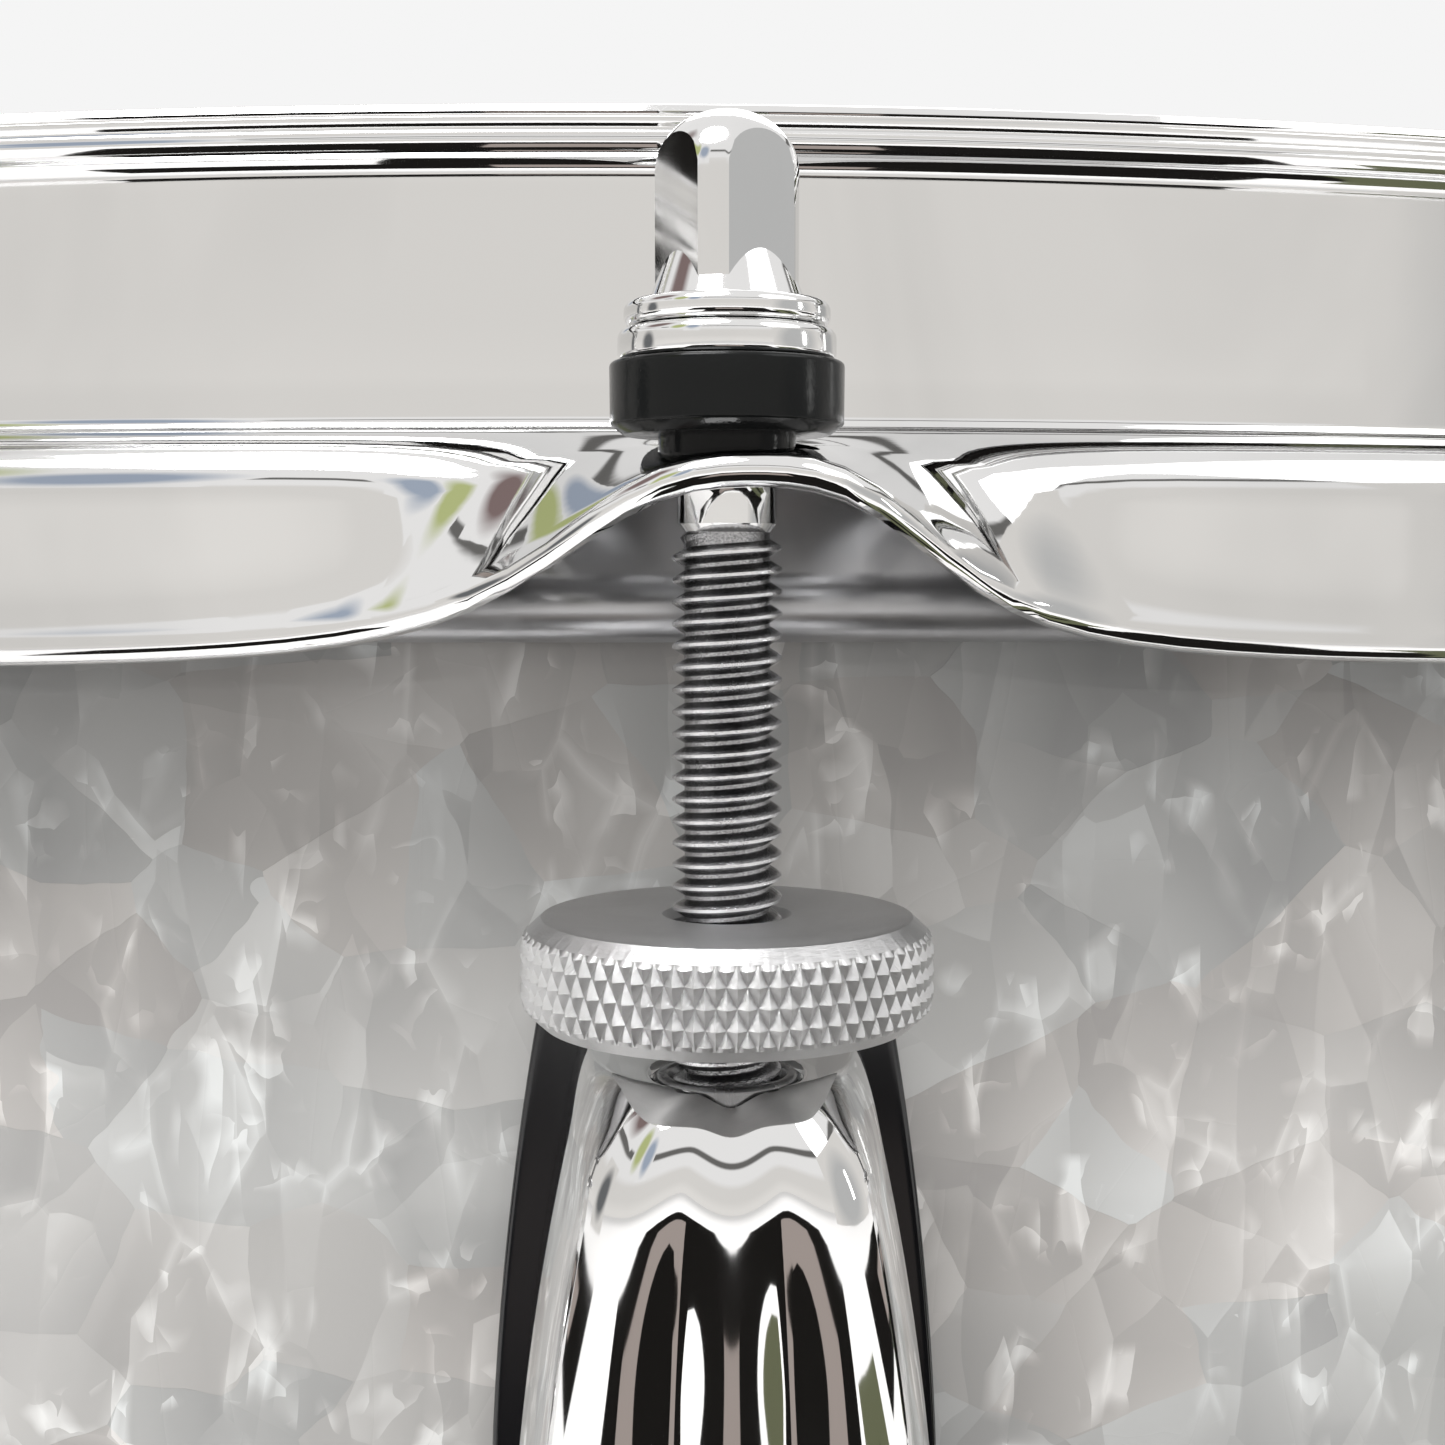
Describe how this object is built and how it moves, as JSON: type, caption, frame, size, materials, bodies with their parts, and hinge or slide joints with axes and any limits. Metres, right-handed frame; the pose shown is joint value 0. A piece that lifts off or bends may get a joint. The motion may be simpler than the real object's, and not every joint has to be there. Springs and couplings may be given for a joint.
{
  "type": "snare drum",
  "caption": "Pearl-wrapped snare drum with chrome flanged hoops, ribbed double-ended lugs, square-head tension rods, knurled lock nuts and a throw-off strainer.",
  "frame": {"origin": "centre of the snare-side rim, on the surface the drum stands on", "axes": "+Z from the snare side up to the batter side, -Y towards the lug named lug_1"},
  "size_m": [0.407, 0.407, 0.1597],
  "materials": {
    "shell_wood": "clear-lacquered maple plies",
    "pearl_wrap": "white marine pearl film, polished",
    "coated_film": "rough white coating on polyester film",
    "clear_film": "hazy thin polyester film",
    "flesh_hoop_metal": "satin",
    "hoop_chrome": "polished chrome plate on pressed steel",
    "lug_chrome": "polished chrome plate on die casting",
    "black_gasket": "glossy moulded black plastic",
    "rod_chrome": "chrome plated steel, duller in the thread",
    "lock_nut_aluminium": "satin turned with a diamond knurl",
    "strainer_chrome": "polished chrome plate",
    "snare_steel": "bright drawn wire",
    "strap_plastic": "smooth polyester strip"
  },
  "bodies": {
    "drum": {"shell": "shell_wood", "shell_wrap": "pearl_wrap", "batter_head": "coated_film", "batter_flesh_hoop": "flesh_hoop_metal", "snare_side_head": "clear_film", "snare_side_flesh_hoop": "flesh_hoop_metal", "batter_hoop": "hoop_chrome", "snare_side_hoop": "hoop_chrome", "lug_1": "lug_chrome", "lug_gasket_1": "black_gasket", "lug_2": "lug_chrome", "lug_gasket_2": "black_gasket", "lug_3": "lug_chrome", "lug_gasket_3": "black_gasket", "lug_4": "lug_chrome", "lug_gasket_4": "black_gasket", "lug_5": "lug_chrome", "lug_gasket_5": "black_gasket", "lug_6": "lug_chrome", "lug_gasket_6": "black_gasket", "lug_7": "lug_chrome", "lug_gasket_7": "black_gasket", "lug_8": "lug_chrome", "lug_gasket_8": "black_gasket", "strainer_base": "strainer_chrome", "lever_pin": "strainer_chrome", "butt_base": "strainer_chrome", "butt_clamp": "strainer_chrome", "butt_strap": "strap_plastic", "vent_grommet": "strainer_chrome"},
    "batter_rod_1": {"batter_rod_1": "rod_chrome"},
    "lock_nut_1": {"lock_nut_1": "lock_nut_aluminium"},
    "snare_side_rod_1": {"snare_side_rod_1": "rod_chrome"},
    "batter_rod_2": {"batter_rod_2": "rod_chrome"},
    "lock_nut_2": {"lock_nut_2": "lock_nut_aluminium"},
    "snare_side_rod_2": {"snare_side_rod_2": "rod_chrome"},
    "batter_rod_3": {"batter_rod_3": "rod_chrome"},
    "lock_nut_3": {"lock_nut_3": "lock_nut_aluminium"},
    "snare_side_rod_3": {"snare_side_rod_3": "rod_chrome"},
    "batter_rod_4": {"batter_rod_4": "rod_chrome"},
    "lock_nut_4": {"lock_nut_4": "lock_nut_aluminium"},
    "snare_side_rod_4": {"snare_side_rod_4": "rod_chrome"},
    "batter_rod_5": {"batter_rod_5": "rod_chrome"},
    "lock_nut_5": {"lock_nut_5": "lock_nut_aluminium"},
    "snare_side_rod_5": {"snare_side_rod_5": "rod_chrome"},
    "batter_rod_6": {"batter_rod_6": "rod_chrome"},
    "lock_nut_6": {"lock_nut_6": "lock_nut_aluminium"},
    "snare_side_rod_6": {"snare_side_rod_6": "rod_chrome"},
    "batter_rod_7": {"batter_rod_7": "rod_chrome"},
    "lock_nut_7": {"lock_nut_7": "lock_nut_aluminium"},
    "snare_side_rod_7": {"snare_side_rod_7": "rod_chrome"},
    "batter_rod_8": {"batter_rod_8": "rod_chrome"},
    "lock_nut_8": {"lock_nut_8": "lock_nut_aluminium"},
    "snare_side_rod_8": {"snare_side_rod_8": "rod_chrome"},
    "strainer_slide": {"strainer_slide": "strainer_chrome", "strap_clamp": "strainer_chrome", "strainer_strap": "strap_plastic"},
    "strainer_lever": {"strainer_lever": "strainer_chrome"},
    "tension_knob": {"tension_knob": "strainer_chrome"},
    "snare_wires": {"snare_wires": "snare_steel"}
  },
  "joints": [
    {"name": "batter_rod_turn_1", "type": "hinge", "parent": "drum", "child": "batter_rod_1", "pos_m": [0, -0.1935, 0.1425], "axis": [0, 0, 1], "range_deg": [-360, 360]},
    {"name": "lock_nut_travel_1", "type": "slide", "parent": "batter_rod_1", "child": "lock_nut_1", "axis": [0, 0, 1], "range_m": [-0.0025, 0.012]},
    {"name": "snare_side_rod_turn_1", "type": "hinge", "parent": "drum", "child": "snare_side_rod_1", "pos_m": [0, -0.1935, 0.0172], "axis": [0, 0, -1], "range_deg": [-360, 360]},
    {"name": "batter_rod_turn_2", "type": "hinge", "parent": "drum", "child": "batter_rod_2", "pos_m": [0.13683, -0.13683, 0.1425], "axis": [0, 0, 1], "range_deg": [-360, 360]},
    {"name": "lock_nut_travel_2", "type": "slide", "parent": "batter_rod_2", "child": "lock_nut_2", "axis": [0, 0, 1], "range_m": [-0.0025, 0.012]},
    {"name": "snare_side_rod_turn_2", "type": "hinge", "parent": "drum", "child": "snare_side_rod_2", "pos_m": [0.13683, -0.13683, 0.0172], "axis": [0, 0, -1], "range_deg": [-360, 360]},
    {"name": "batter_rod_turn_3", "type": "hinge", "parent": "drum", "child": "batter_rod_3", "pos_m": [0.1935, 0, 0.1425], "axis": [0, 0, 1], "range_deg": [-360, 360]},
    {"name": "lock_nut_travel_3", "type": "slide", "parent": "batter_rod_3", "child": "lock_nut_3", "axis": [0, 0, 1], "range_m": [-0.0025, 0.012]},
    {"name": "snare_side_rod_turn_3", "type": "hinge", "parent": "drum", "child": "snare_side_rod_3", "pos_m": [0.1935, 0, 0.0172], "axis": [0, 0, -1], "range_deg": [-360, 360]},
    {"name": "batter_rod_turn_4", "type": "hinge", "parent": "drum", "child": "batter_rod_4", "pos_m": [0.13683, 0.13683, 0.1425], "axis": [0, 0, 1], "range_deg": [-360, 360]},
    {"name": "lock_nut_travel_4", "type": "slide", "parent": "batter_rod_4", "child": "lock_nut_4", "axis": [0, 0, 1], "range_m": [-0.0025, 0.012]},
    {"name": "snare_side_rod_turn_4", "type": "hinge", "parent": "drum", "child": "snare_side_rod_4", "pos_m": [0.13683, 0.13683, 0.0172], "axis": [0, 0, -1], "range_deg": [-360, 360]},
    {"name": "batter_rod_turn_5", "type": "hinge", "parent": "drum", "child": "batter_rod_5", "pos_m": [0, 0.1935, 0.1425], "axis": [0, 0, 1], "range_deg": [-360, 360]},
    {"name": "lock_nut_travel_5", "type": "slide", "parent": "batter_rod_5", "child": "lock_nut_5", "axis": [0, 0, 1], "range_m": [-0.0025, 0.012]},
    {"name": "snare_side_rod_turn_5", "type": "hinge", "parent": "drum", "child": "snare_side_rod_5", "pos_m": [0, 0.1935, 0.0172], "axis": [0, 0, -1], "range_deg": [-360, 360]},
    {"name": "batter_rod_turn_6", "type": "hinge", "parent": "drum", "child": "batter_rod_6", "pos_m": [-0.13683, 0.13683, 0.1425], "axis": [0, 0, 1], "range_deg": [-360, 360]},
    {"name": "lock_nut_travel_6", "type": "slide", "parent": "batter_rod_6", "child": "lock_nut_6", "axis": [0, 0, 1], "range_m": [-0.0025, 0.012]},
    {"name": "snare_side_rod_turn_6", "type": "hinge", "parent": "drum", "child": "snare_side_rod_6", "pos_m": [-0.13683, 0.13683, 0.0172], "axis": [0, 0, -1], "range_deg": [-360, 360]},
    {"name": "batter_rod_turn_7", "type": "hinge", "parent": "drum", "child": "batter_rod_7", "pos_m": [-0.1935, 0, 0.1425], "axis": [0, 0, 1], "range_deg": [-360, 360]},
    {"name": "lock_nut_travel_7", "type": "slide", "parent": "batter_rod_7", "child": "lock_nut_7", "axis": [0, 0, 1], "range_m": [-0.0025, 0.012]},
    {"name": "snare_side_rod_turn_7", "type": "hinge", "parent": "drum", "child": "snare_side_rod_7", "pos_m": [-0.1935, 0, 0.0172], "axis": [0, 0, -1], "range_deg": [-360, 360]},
    {"name": "batter_rod_turn_8", "type": "hinge", "parent": "drum", "child": "batter_rod_8", "pos_m": [-0.13683, -0.13683, 0.1425], "axis": [0, 0, 1], "range_deg": [-360, 360]},
    {"name": "lock_nut_travel_8", "type": "slide", "parent": "batter_rod_8", "child": "lock_nut_8", "axis": [0, 0, 1], "range_m": [-0.0025, 0.012]},
    {"name": "snare_side_rod_turn_8", "type": "hinge", "parent": "drum", "child": "snare_side_rod_8", "pos_m": [-0.13683, -0.13683, 0.0172], "axis": [0, 0, -1], "range_deg": [-360, 360]},
    {"name": "strainer_lever_throw", "type": "hinge", "parent": "drum", "child": "strainer_lever", "pos_m": [0.182, -0.07539, 0.068], "axis": [0.3827, 0.9239, 0], "range_deg": [0, 100]},
    {"name": "strainer_slide_drop", "type": "slide", "parent": "drum", "child": "strainer_slide", "axis": [0, 0, -1], "range_m": [0, 0.0061]},
    {"name": "snare_wires_drop", "type": "hinge", "parent": "drum", "child": "snare_wires", "pos_m": [-0.13489, 0.05587, 0.008], "axis": [0.3827, 0.9239, 0], "range_deg": [0, 1.2]},
    {"name": "tension_knob_turn", "type": "hinge", "parent": "drum", "child": "tension_knob", "pos_m": [0.17461, -0.07233, 0.12], "axis": [0, 0, 1], "range_deg": [-360, 360]}
  ],
  "couplings": [
    {"joint": "strainer_slide_drop", "follows": "strainer_lever_throw", "m_per_rad": 0.0034377},
    {"joint": "snare_wires_drop", "follows": "strainer_lever_throw", "ratio": 0.011775}
  ]
}
